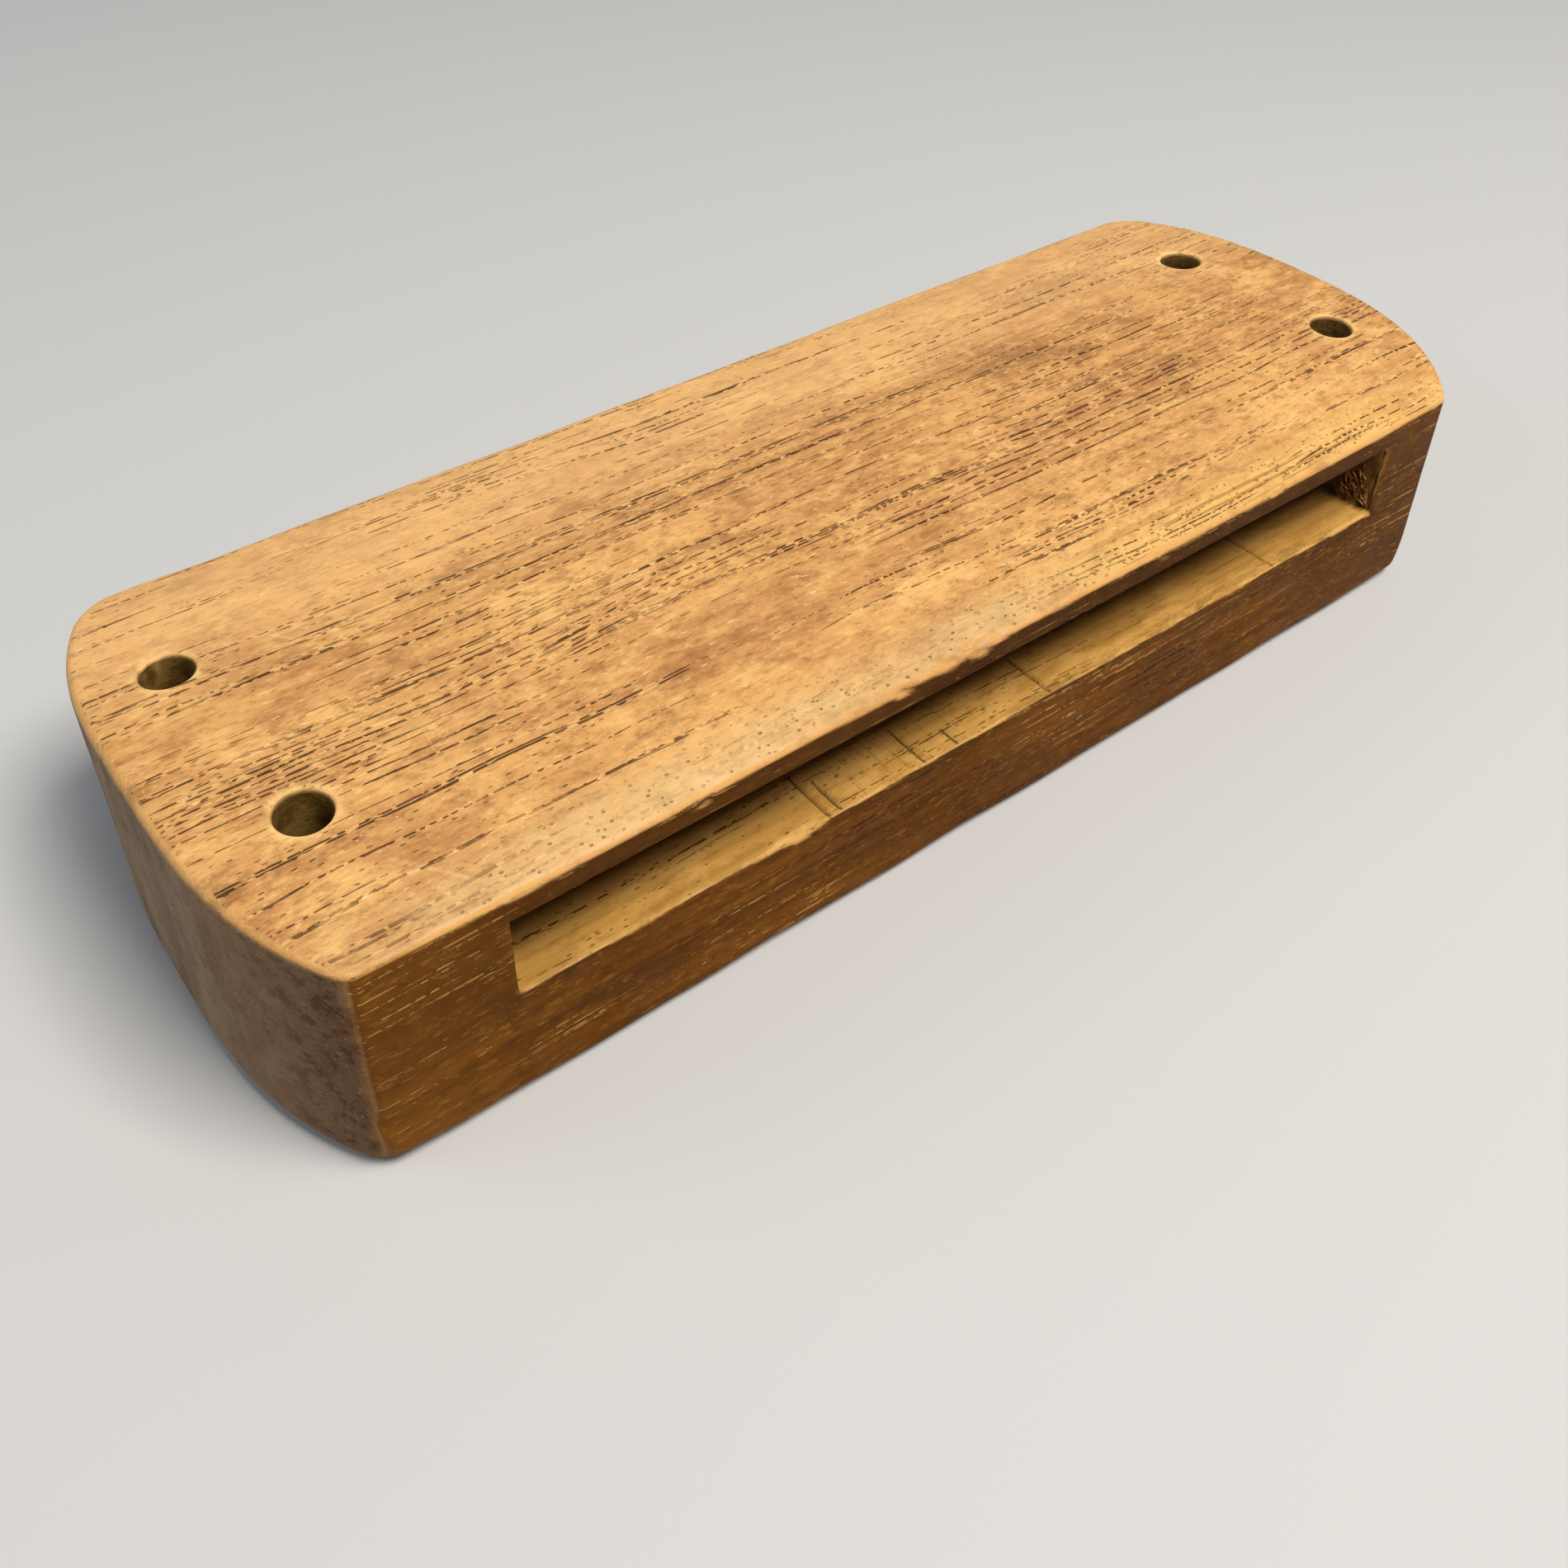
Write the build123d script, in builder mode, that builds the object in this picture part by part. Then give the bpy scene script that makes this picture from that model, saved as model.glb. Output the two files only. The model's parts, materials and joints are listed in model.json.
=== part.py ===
from build123d import *
import os

# Wood block: a bar of hardwood with bowed ends and a crowned top.
#
# One long sound slot opens in its front side, just under the top, and four upright
# holes take its mounting bolts or cord.  It is cut from a single piece of wood.
#
# X runs along the grain, the slotted side faces -Y and Z is up.  The origin is the
# middle of the underside.

# Body
length = 192.0  # between the tips of the two bowed ends
width = 70.0
edge_height = 32.0  # thickness along the two long sides
crown = 2.4  # how much thicker it is along the middle
left_front_bow = 8.0  # how far each corner stands back from the tip of its end
left_back_bow = 8.0
right_front_bow = 12.0
right_back_bow = 7.0
bow_power = 3.2  # 2 would bow an end like a parabola; more turns it nearer its corners
bow_points = 8  # from the tip of an end to each corner
edge_radius = 1.5  # all outside edges
back_corner_radius = 5.0  # the two upright corners away from the slot

# Sound slot
slot_end_wall = 25.0  # from each tip to the slot
slot_back_wall = 20.0
slot_height = 11.0
slot_lip = 4.3  # wood above the slot where it opens

# Upright holes, drilled by hand: each is inset from its own tip and its own long side
hole_diameter = 6.0
left_back_inset = (10.7, 20.6)
left_front_inset = (13.5, 20.3)
right_back_inset = (13.2, 20.4)
right_front_inset = (11.7, 21.1)

left_tip = -length / 2
right_tip = length / 2
front = -width / 2
back = width / 2
slot_length = length - 2 * slot_end_wall
slot_depth = width - slot_back_wall
slot_middle_height = edge_height - slot_lip - slot_height / 2


def bowed_end(tip, front_bow, back_bow):
    """Draw one end from its front corner to its back corner; bows are signed outwards."""
    points = []
    for step in range(-bow_points, bow_points + 1):
        share = step / bow_points
        bow = front_bow if step < 0 else back_bow
        points.append((tip - bow * abs(share) ** bow_power, share * back))
    return Spline(*points)


with BuildPart() as block:
    # The crowned cross-section, along the whole length
    with BuildSketch(Plane.YZ.offset(left_tip)):
        with BuildLine():
            Polyline((front, edge_height), (front, 0), (back, 0), (back, edge_height))
            ThreePointArc((back, edge_height), (0, edge_height + crown), (front, edge_height))
        make_face()
    extrude(amount=length)

    # Cut to the outline seen from above
    with BuildSketch() as outline:
        with BuildLine():
            left_end = bowed_end(left_tip, -left_front_bow, -left_back_bow)
            right_end = bowed_end(right_tip, right_front_bow, right_back_bow)
            Line(left_end @ 0, right_end @ 0)
            Line(left_end @ 1, right_end @ 1)
        make_face()
        fillet(outline.vertices().group_by(Axis.Y)[-1], back_corner_radius)
    extrude(amount=edge_height + crown, mode=Mode.INTERSECT)

    # Soften the rims of the top and the underside, and the two front corners
    top_rim = block.faces().sort_by(Axis.Z)[-1].edges()
    bottom_rim = block.faces().sort_by(Axis.Z)[0].edges()
    front_corners = block.edges().filter_by(Axis.Z).group_by(Axis.Y)[0]
    fillet(top_rim + bottom_rim + front_corners, edge_radius)

    # The sound slot, cut in from the front side
    with BuildSketch(Plane.XZ.offset(-front)):
        with Locations((0, slot_middle_height)):
            Rectangle(slot_length, slot_height)
    extrude(amount=-slot_depth, mode=Mode.SUBTRACT)

    # The four holes, right through
    with Locations(
        (left_tip + left_back_inset[0], back - left_back_inset[1], edge_height),
        (left_tip + left_front_inset[0], front + left_front_inset[1], edge_height),
        (right_tip - right_back_inset[0], back - right_back_inset[1], edge_height),
        (right_tip - right_front_inset[0], front + right_front_inset[1], edge_height),
    ):
        Hole(hole_diameter / 2)

block.part.label = "block"

os.makedirs("parts", exist_ok=True)
export_step(block.part, "parts/block.step")
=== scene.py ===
import json
import math
import random

import bmesh
import bpy
from mathutils import Matrix, Vector, noise


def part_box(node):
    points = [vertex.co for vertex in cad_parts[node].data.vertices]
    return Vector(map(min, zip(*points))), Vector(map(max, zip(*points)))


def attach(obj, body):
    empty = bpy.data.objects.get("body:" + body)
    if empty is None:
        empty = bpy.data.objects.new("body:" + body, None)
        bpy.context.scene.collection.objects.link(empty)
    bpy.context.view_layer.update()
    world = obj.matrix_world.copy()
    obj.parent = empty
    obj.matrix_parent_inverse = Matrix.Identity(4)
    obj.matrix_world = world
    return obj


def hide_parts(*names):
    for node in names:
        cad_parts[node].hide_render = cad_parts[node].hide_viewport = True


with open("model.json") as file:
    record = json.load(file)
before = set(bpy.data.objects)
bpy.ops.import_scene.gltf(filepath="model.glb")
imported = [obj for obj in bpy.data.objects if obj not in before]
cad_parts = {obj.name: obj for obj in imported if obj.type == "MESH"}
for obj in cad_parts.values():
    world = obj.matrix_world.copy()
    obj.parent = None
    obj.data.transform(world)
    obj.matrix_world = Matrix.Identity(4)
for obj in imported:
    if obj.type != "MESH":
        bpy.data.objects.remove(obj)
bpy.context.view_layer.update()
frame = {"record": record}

# ---------------------------------------------------------------------------
# Sizes.  The block is shaped in millimetres and scaled to metres at the end.
# X runs along the grain, the slotted side faces -Y and Z is up.
# ---------------------------------------------------------------------------
MM = 0.001
NEAR = 1e-3  # places closer than this, in millimetres, are the same
LEFT, FRONT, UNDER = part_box("block")[0] / MM
RIGHT, BACK, CROWN_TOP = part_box("block")[1] / MM
CROWN = 2.4
TOP = CROWN_TOP - CROWN  # height of the long top edges

# How far each corner stands back from the tip of its end
CORNER_BOW = {(-1, -1): 8.0, (-1, 1): 8.0, (1, -1): 12.0, (1, 1): 7.0}
BOW_POWER = 3.2

SLOT_END_WALL = 25.0
SLOT_BACK_WALL = 20.0
SLOT_LIP = 4.3  # wood over the slot where it opens
SLOT_HEIGHT = 11.0
SLOT_LEFT = LEFT + SLOT_END_WALL
SLOT_RIGHT = RIGHT - SLOT_END_WALL
SLOT_BACK = BACK - SLOT_BACK_WALL
SLOT_CEILING = TOP - SLOT_LIP
SLOT_FLOOR = SLOT_CEILING - SLOT_HEIGHT

FRONT_CORNER_RADIUS = 1.3
LOW_CORNER_GROWTH = 2.0  # the front corners are worn rounder towards the underside
BACK_CORNER_RADIUS = 5.0
TOP_RIM_RADIUS = 1.2
UNDER_RIM_RADIUS = 2.2
BACK_EDGE_RADIUS = 1.6
HOLE_RIM_RADIUS = 0.55
SLOT_END_RADIUS = 0.35  # left end of the slot's mouth
TORN_END_RADIUS = 1.5  # right end of the slot's mouth
EDGE_BAND = 6.5  # width of the pale band behind the front top edge: worn wood with a painted highlight

# Saw nicks across the slot's floor: place along the block, reach into the slot, depth
SAW_NICKS = [
    (-29.8, 9.0, 0.7),
    (-28.0, 6.5, 0.5),
    (-15.0, 8.0, 0.45),
    (-9.7, 4.0, 0.25),
    (6.1, 9.0, 0.7),
    (49.9, 10.0, 0.7),
]
NICK_HALF_WIDTH = 0.3

HOLES = [
    (Vector(mount["pos_m"]) / MM, mount["dims"]["r_mm"])
    for mount in frame["record"]["mounts"]
    if mount["kind"] == "bore"
]
# Squares of the grid that are opened for the holes; the grid's runs start at their sides
HOLE_CELLS_X = [(LEFT + 3.5, LEFT + 20.5), (RIGHT - 20.5, RIGHT - 3.5)]
HOLE_CELLS_Y = [(-23.0, -6.0), (6.0, 23.0)]
PATCH_RADIUS = 5.6  # round patch of finer mesh about each hole
PATCH_PITCH = 0.42
HOLE_REACH = 14.0  # holds one hole's opened grid cells and no other hole's


# ---------------------------------------------------------------------------
# The bar: a box cut into a fine grid, with its slot pushed in
# ---------------------------------------------------------------------------
def unit(axis):
    """The way along one axis."""
    return Vector([1.0 if i == axis else 0.0 for i in range(3)])


def lay_grid(bar, axis, runs):
    """Cut the bar square to an axis at each run's start, then divide each run by its pitch."""
    for start, _ in runs[1:-1]:
        everything = bar.verts[:] + bar.edges[:] + bar.faces[:]
        bmesh.ops.bisect_plane(
            bar, geom=everything, plane_co=unit(axis) * start, plane_no=unit(axis), dist=NEAR / 100
        )
    for (start, pitch), (end, _) in zip(runs, runs[1:]):
        cells = max(1, round((end - start) / pitch))
        along = [
            edge
            for edge in bar.edges
            if start < (edge.verts[0].co[axis] + edge.verts[1].co[axis]) / 2 < end
            and abs(edge.verts[0].co[axis] - edge.verts[1].co[axis]) > NEAR
        ]
        if cells > 1:
            bmesh.ops.subdivide_edges(bar, edges=along, cuts=cells - 1, use_grid_fill=True)


# Places across the block and up it where the mesh changes pitch, each with its pitch
GRID_RUNS_ACROSS = [
    (FRONT, 0.3),
    (FRONT + 1.8, 0.55),
    (FRONT + 4.5, 1.1),
    (-23.0, 1.2),
    (-6.0, 1.2),
    (6.0, 1.2),
    (23.0, 1.2),
    (BACK - 3.0, 0.5),
    (BACK, 0),
]
GRID_RUNS_UP = [
    (UNDER, 0.4),
    (UNDER + 2.4, 1.3),
    (SLOT_FLOOR - 3.0, 0.5),
    (SLOT_FLOOR - 1.0, 0.25),
    (SLOT_FLOOR, 1.1),
    (SLOT_CEILING, 0.25),
    (SLOT_CEILING + 1.0, 0.4),
    (TOP, 0),
]


def grid_runs_along():
    """The same along the block, with extra cuts at the saw nicks."""
    left_end = [(LEFT, 0.5), (LEFT + 2.0, 0.75), (LEFT + 3.5, 1.15), (LEFT + 20.5, 0.9)]
    right_end = [(RIGHT - 20.5, 1.15), (RIGHT - 3.5, 0.75), (RIGHT - 2.0, 0.5), (RIGHT, 0)]
    runs = left_end + [(SLOT_LEFT, 0.8)]
    for place, _, _ in SAW_NICKS:
        runs += [(place - NICK_HALF_WIDTH, 1.0), (place, 1.0), (place + NICK_HALF_WIDTH, 0.8)]
    return runs + [(SLOT_RIGHT, 0.9)] + right_end


def slotted_bar():
    """A square-cornered bar on an even grid, with the sound slot pushed in from the front."""
    bar = bmesh.new()
    bmesh.ops.create_cube(bar, size=1.0)
    size = Vector((RIGHT - LEFT, BACK - FRONT, TOP - UNDER))
    middle = Vector((RIGHT + LEFT, BACK + FRONT, TOP + UNDER)) / 2
    bmesh.ops.scale(bar, vec=size, verts=bar.verts)
    bmesh.ops.translate(bar, vec=middle, verts=bar.verts)
    for axis, place in [(0, SLOT_LEFT), (0, SLOT_RIGHT), (2, SLOT_FLOOR), (2, SLOT_CEILING)]:
        everything = bar.verts[:] + bar.edges[:] + bar.faces[:]
        bmesh.ops.bisect_plane(bar, geom=everything, plane_co=unit(axis) * place, plane_no=unit(axis))
    mouth = [face for face in bar.faces if in_slot_mouth(face.calc_center_median())]
    pushed = bmesh.ops.extrude_face_region(bar, geom=mouth)["geom"]
    bmesh.ops.delete(bar, geom=mouth, context="FACES")
    corners = [part for part in pushed if isinstance(part, bmesh.types.BMVert)]
    bmesh.ops.translate(bar, vec=(0, SLOT_BACK - FRONT, 0), verts=corners)
    lay_grid(bar, 0, grid_runs_along())
    lay_grid(bar, 1, GRID_RUNS_ACROSS)
    lay_grid(bar, 2, GRID_RUNS_UP)
    return bar


def in_slot_mouth(point):
    """True on the front of the square bar, where the slot opens."""
    inside = SLOT_LEFT < point.x < SLOT_RIGHT and SLOT_FLOOR < point.z < SLOT_CEILING
    return inside and abs(point.y - FRONT) < NEAR


def open_hole_cells(bar):
    """Take away the square of grid over and under each hole."""
    over_holes = [
        face
        for face in bar.faces
        if abs(face.normal.z) > 0.9
        and (face.verts[0].co.z > TOP - NEAR or face.verts[0].co.z < UNDER + NEAR)
        and any(low < face.calc_center_median().x < high for low, high in HOLE_CELLS_X)
        and any(low < face.calc_center_median().y < high for low, high in HOLE_CELLS_Y)
    ]
    bmesh.ops.delete(bar, geom=over_holes, context="FACES")


# ---------------------------------------------------------------------------
# Softened edges, bowed ends and crown
# ---------------------------------------------------------------------------
def drift(x, seed, length):
    """Slow wander between -1 and 1 along the block."""
    return noise.noise(Vector((x / length, seed * 7.31, seed * 3.17)))


def eased_line(value, low, high):
    """0 below low, 1 above high and a straight line between."""
    return min(1.0, max(0.0, (value - low) / (high - low)))


def eased(value, low, high):
    """0 below low, 1 above high and smooth between."""
    share = eased_line(value, low, high)
    return share * share * (3 - 2 * share)


def rounded(a, b, radius):
    """Bend the square edge between two faces to a radius, for a point a and b deep inside each."""
    if a >= radius or b >= radius:
        return a, b
    u = 1 - a / radius
    v = 1 - b / radius
    shrink = max(u, v) / math.hypot(u, v)
    return radius * (1 - u * shrink), radius * (1 - v * shrink)


def played(x):
    """How much the edge over the slot has been struck: not at all at its two corners."""
    return eased(x, LEFT + 4, LEFT + 34) * (1 - eased(x, RIGHT - 30, RIGHT - 6))


def front_edge_radius(x):
    """The struck edge is crisp, and wavy where chips have been worn smooth."""
    return 0.6 + played(x) * max(0.0, 0.2 + 0.5 * drift(x, 1, 16) + 0.45 * drift(x, 2, 5))


def struck_fall(x, y):
    """How far the top falls away towards the struck edge."""
    share = max(0.0, 1 - (y - FRONT) / EDGE_BAND)
    return (0.25 + played(x) * (0.75 + 0.3 * drift(x, 11, 25))) * share * share


def floor_edge_radius(x):
    """The front edge of the slot's floor is crisp between chips."""
    chips = 0.9 * max(0.0, drift(x, 3, 7) + 0.1) + 0.5 * max(0.0, drift(x, 4, 2.5))
    beside_nick = 1.1 * math.exp(-(((x + 33.0) / 2.6) ** 2)) * (x < SAW_NICKS[0][0])
    return 0.22 + chips + beside_nick + 0.6 * math.exp(-(((x + 56.0) / 3.0) ** 2))


def lip_edge_radius(x):
    """The lower edge of the wood over the slot is crisp between small chips."""
    return 0.3 + 0.5 * max(0.0, drift(x, 5, 9)) + 0.4 * max(0.0, drift(x, 6, 2.5))


def soften(point):
    """Round every edge of the square bar at one of its points."""
    x, y, z = point
    side_x = 1 if x > 0 else -1
    side_y = 1 if y > 0 else -1
    corner = BACK_CORNER_RADIUS
    if side_y < 0:
        corner = FRONT_CORNER_RADIUS + LOW_CORNER_GROWTH * (1 - eased(z, UNDER, UNDER + 7))
    a, b = rounded(RIGHT - abs(x), BACK - abs(y), corner)
    x, y = side_x * (RIGHT - a), side_y * (BACK - b)

    # Depth inside the outline and the way out of it
    past_x, past_y = abs(x) - (RIGHT - corner), abs(y) - (BACK - corner)
    if past_x > 0 and past_y > 0:
        reach = math.hypot(past_x, past_y)
        depth, out = corner - reach, Vector((side_x * past_x / reach, side_y * past_y / reach))
    elif RIGHT - abs(x) < BACK - abs(y):
        depth, out = RIGHT - abs(x), Vector((side_x, 0))
    else:
        depth, out = BACK - abs(y), Vector((0, side_y))

    long_side = front_edge_radius(x) if side_y < 0 else BACK_EDGE_RADIUS + 0.4 * drift(x, 8, 14)
    radius = TOP_RIM_RADIUS * out.x**2 + long_side * out.y**2
    new_depth, fall = rounded(depth, TOP - z, radius)
    z = TOP - fall
    if fall < radius:
        x, y = x - out.x * (new_depth - depth), y - out.y * (new_depth - depth)
        depth = new_depth
    at_corner = eased(abs(x), RIGHT - 14, RIGHT) * eased(-y, 5, 30)
    radius = UNDER_RIM_RADIUS * (1 + 0.25 * drift(x + y, 9, 12) + 0.5 * at_corner)
    new_depth, rise = rounded(depth, z - UNDER, radius)
    z = UNDER + rise
    x, y = x - out.x * (new_depth - depth), y - out.y * (new_depth - depth)

    # The slot's mouth
    if SLOT_LEFT <= x <= SLOT_RIGHT and z <= SLOT_FLOOR:
        depth, drop = rounded(y - FRONT, SLOT_FLOOR - z, floor_edge_radius(x))
        y, z = FRONT + depth, SLOT_FLOOR - drop
    elif SLOT_LEFT <= x <= SLOT_RIGHT and z >= SLOT_CEILING:
        depth, rise = rounded(y - FRONT, z - SLOT_CEILING, lip_edge_radius(x))
        y, z = FRONT + depth, SLOT_CEILING + rise
    elif SLOT_FLOOR < z < SLOT_CEILING and x <= SLOT_LEFT:
        depth, away = rounded(y - FRONT, SLOT_LEFT - x, SLOT_END_RADIUS)
        y, x = FRONT + depth, SLOT_LEFT - away
    elif SLOT_FLOOR < z < SLOT_CEILING and x >= SLOT_RIGHT:
        radius = TORN_END_RADIUS + 0.5 * drift(z, 7, 3)
        depth, away = rounded(y - FRONT, x - SLOT_RIGHT, radius)
        y, x = FRONT + depth, SLOT_RIGHT + away
    return Vector((x, y, z))


def bowed(point):
    """Draw the ends out to their curve, from the slot's ends outwards."""
    side = 1 if point.x > 0 else -1
    fixed = SLOT_RIGHT
    if abs(point.x) <= fixed:
        return point.x
    bow = CORNER_BOW[side, 1 if point.y > 0 else -1]
    end = RIGHT - bow * min(1.0, abs(point.y / BACK)) ** BOW_POWER
    return side * (fixed + (abs(point.x) - fixed) * (end - fixed) / (RIGHT - fixed))


def crowned(point):
    """Raise the wood over the slot's ceiling to the crown."""
    share = eased_line(point.z, SLOT_CEILING, TOP)
    rise = CROWN * (1 - (point.y / BACK) ** 2) - struck_fall(point.x, point.y)
    return point.z + rise * share


# ---------------------------------------------------------------------------
# Holes
# ---------------------------------------------------------------------------
def bore_hole(bar, centre, radius):
    """Spin a worn hole and its round patches, and join them to the grid above and below."""
    axis = Vector((centre.x, centre.y, 0))
    near = [
        edge
        for edge in bar.edges
        if edge.is_boundary and (edge.verts[0].co - axis).to_2d().length < HOLE_REACH
    ]
    loops = [
        [edge for edge in near if edge.verts[0].co.z > TOP / 2],
        [edge for edge in near if edge.verts[0].co.z < TOP / 2],
    ]
    rim = HOLE_RIM_RADIUS
    lift = 1.0  # holds each patch's outer ring off the grid while the two are joined
    profile = [(PATCH_RADIUS, TOP + lift)]
    profile += [(PATCH_RADIUS - PATCH_PITCH * step, TOP) for step in range(1, 5)]
    profile += [
        (radius + rim * (1 - math.sin(turn)), TOP - rim * (1 - math.cos(turn)))
        for turn in [math.pi / 2 * step / 4 for step in range(5)]
    ]
    wall = [(radius, TOP - rim - (TOP - 2 * rim) * step / 16) for step in range(1, 16)]
    profile += wall + [(r, TOP - z) for r, z in reversed(profile)]
    points = [bar.verts.new(axis + Vector((r, 0, z))) for r, z in profile]
    edges = [bar.edges.new(pair) for pair in zip(points, points[1:])]
    bmesh.ops.spin(
        bar, geom=points + edges, cent=axis, axis=(0, 0, 1), angle=math.tau,
        steps=len(loops[0]), use_merge=True,
    )
    ends = [
        edge
        for edge in bar.edges
        if edge.is_boundary
        and all(abs((v.co - axis).to_2d().length - PATCH_RADIUS) < NEAR for v in edge.verts)
    ]
    for loop, high in zip(loops, (True, False)):
        ring = [edge for edge in ends if (edge.verts[0].co.z > TOP / 2) == high]
        bmesh.ops.bridge_loops(bar, edges=loop + ring)
        for edge in ring:
            for vert in edge.verts:
                vert.co.z = TOP if high else UNDER


# ---------------------------------------------------------------------------
# Wear: dents, nicks, chips and torn wood, always cut into the block
# ---------------------------------------------------------------------------
# Dents: middle, radius, depth
DENTS = [
    (Vector((-73.3, FRONT, 13.4)), 1.9, 0.35),
    (Vector((-75.7, FRONT, 11.9)), 1.3, 0.30),
    (Vector((-63.0, FRONT, 14.0)), 2.6, 0.20),
    (Vector((-8.0, FRONT, 31.6)), 2.4, 0.75),
    (Vector((-4.6, FRONT, 31.9)), 1.6, 0.55),
    (Vector((-12.4, FRONT, 31.5)), 1.8, 0.50),
    (Vector((-19.8, FRONT, 30.6)), 1.5, 0.45),
    (Vector((24.0, FRONT, 31.4)), 2.2, 0.35),
    (Vector((47.0, FRONT, 31.8)), 1.8, 0.35),
    (Vector((-47.5, FRONT, 31.5)), 2.4, 0.40),
    (Vector((-3.3, -32.3, 32.4)), 1.6, 0.30),
    (Vector((-19.1, -19.9, 33.7)), 1.5, 0.22),
    (Vector((69.8, -20.7, 33.6)), 1.4, 0.25),
    (Vector((-87.6, 17.7, 33.8)), 1.3, 0.40),
    (Vector((-85.6, 18.0, 33.8)), 1.0, 0.30),
    (Vector((LEFT + 8.5, FRONT, 8.0)), 1.8, 0.30),
    (Vector((12.0, FRONT, 5.5)), 2.2, 0.18),
    (Vector((38.0, FRONT, 9.0)), 2.0, 0.15),
    (Vector((40.0, BACK, 20.0)), 2.4, 0.25),
    (Vector((-30.0, BACK, 12.0)), 1.8, 0.22),
    (Vector((RIGHT - 1.0, 6.0, 14.0)), 2.4, 0.25),
    (Vector((LEFT + 0.5, -4.0, 21.0)), 2.2, 0.20),
]


def saw_nick(x, y):
    """Depth of the nicks at a place on the slot's floor."""
    depth = 0.0
    for place, reach, cut in SAW_NICKS:
        across = 1 - abs(x - place) / NICK_HALF_WIDTH
        if across > 0:
            depth = max(depth, cut * across * (1 - eased(y - FRONT, reach * 0.6, reach)))
    return depth


def torn_end(point):
    """How far the roughly cut right end of the slot is torn away at one of its points."""
    mouth = 1 - eased(point.y, FRONT + 4, FRONT + 16)
    coarse = noise.noise(point / 3.1)
    fine = noise.noise(point / 1.1 + Vector((40, 0, 0)))
    return mouth * max(0.0, 0.7 + 1.1 * coarse + 0.8 * fine)


def worn(point, normal):
    """Cut the wear into the surface at one of its points."""
    x, y, z = point
    in_slot_x = SLOT_LEFT - 0.5 < x < SLOT_RIGHT + 0.5
    inside_mouth = y > FRONT + 0.6 + NEAR  # the grid's row at 0.6 is always outside
    outside = not (in_slot_x and inside_mouth and SLOT_FLOOR - 0.1 < z < SLOT_CEILING + 0.1)
    cut = 0.0
    if outside:
        cut += 0.05 * (1 + noise.noise(point / 17.0)) + 0.02 * (1 + noise.noise(point / 4.5))
        for middle, radius, depth in DENTS:
            away = (point - middle).length / radius
            if away < 1.6:
                rough = 0.35 * noise.noise(point / 0.9 + middle)
                cut += depth * (1 - eased(away + rough, 0.1, 1.2))
    elif z < SLOT_FLOOR + 0.3:
        cut += saw_nick(x, y) + 0.05 * (1 + noise.noise(Vector((x / 14.0, y / 2.0, 3.0))))
        cut += 0.05 * max(0.0, noise.noise(Vector((x / 1.3, y / 30.0, 9.0))))
    moved = point - normal * cut
    if not outside and x > SLOT_RIGHT - 0.1:
        moved.x += torn_end(point)
    near_mouth = abs(y - FRONT) < 0.7 and abs(z - (SLOT_FLOOR + SLOT_CEILING) / 2) < 6
    if near_mouth and SLOT_RIGHT - 0.2 < x < SLOT_RIGHT + 3.0:
        moved.x += torn_end(point) * (1 - eased(x, SLOT_RIGHT, SLOT_RIGHT + 3.0))
    return moved


# ---------------------------------------------------------------------------
# Where each finish shows, kept on the mesh for the wood's material
# ---------------------------------------------------------------------------
# Patches of the top rubbed pale, and stained dark: middle, reach along and across the grain, strength
PALE_PATCHES = [
    (-64.8, 29.4, 2.0, 1.3, 1.3),
    (-52.0, 27.0, 9.0, 2.0, 0.6),
    (3.0, 22.5, 9.0, 3.5, 0.8),
    (22.0, 17.0, 12.0, 5.0, 0.45),
    (-5.4, -23.6, 7.0, 3.6, 0.85),
    (-13.0, -20.5, 4.0, 1.6, 0.6),
    (79.6, -23.1, 9.0, 4.5, 0.9),
    (66.0, -25.0, 12.0, 4.0, 0.6),
    (-84.0, -26.0, 7.0, 3.0, 0.6),
    (-91.5, -10.0, 2.0, 8.0, 0.5),
    (-45.0, 3.0, 10.0, 6.0, 0.35),
    (86.0, 4.0, 5.0, 14.0, 0.5),
    (-70.0, 6.0, 2.0, 5.0, 0.4),
]
DARK_PATCHES = [
    (-19.1, -19.9, 2.6, 1.2, 0.9),
    (-3.3, -32.3, 1.8, 0.8, 0.9),
    (69.8, -20.7, 1.8, 0.9, 0.8),
    (-33.0, 14.0, 5.0, 2.4, 0.5),
    (36.0, 8.0, 16.0, 9.0, 0.55),
    (52.0, -6.0, 14.0, 7.0, 0.45),
    (-22.0, -4.0, 9.0, 4.0, 0.3),
    (62.0, 20.0, 10.0, 6.0, 0.4),
    (-52.0, -16.0, 12.0, 4.0, 0.3),
]


def patchy(x, y, patches):
    """Strongest of some patches at a place on the top."""
    strongest = 0.0
    for middle_x, middle_y, along, across, strength in patches:
        away = math.hypot((x - middle_x) / along, (y - middle_y) / across)
        strongest = max(strongest, strength * (1 - eased(away, 0.15, 1.3)))
    return strongest


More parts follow.
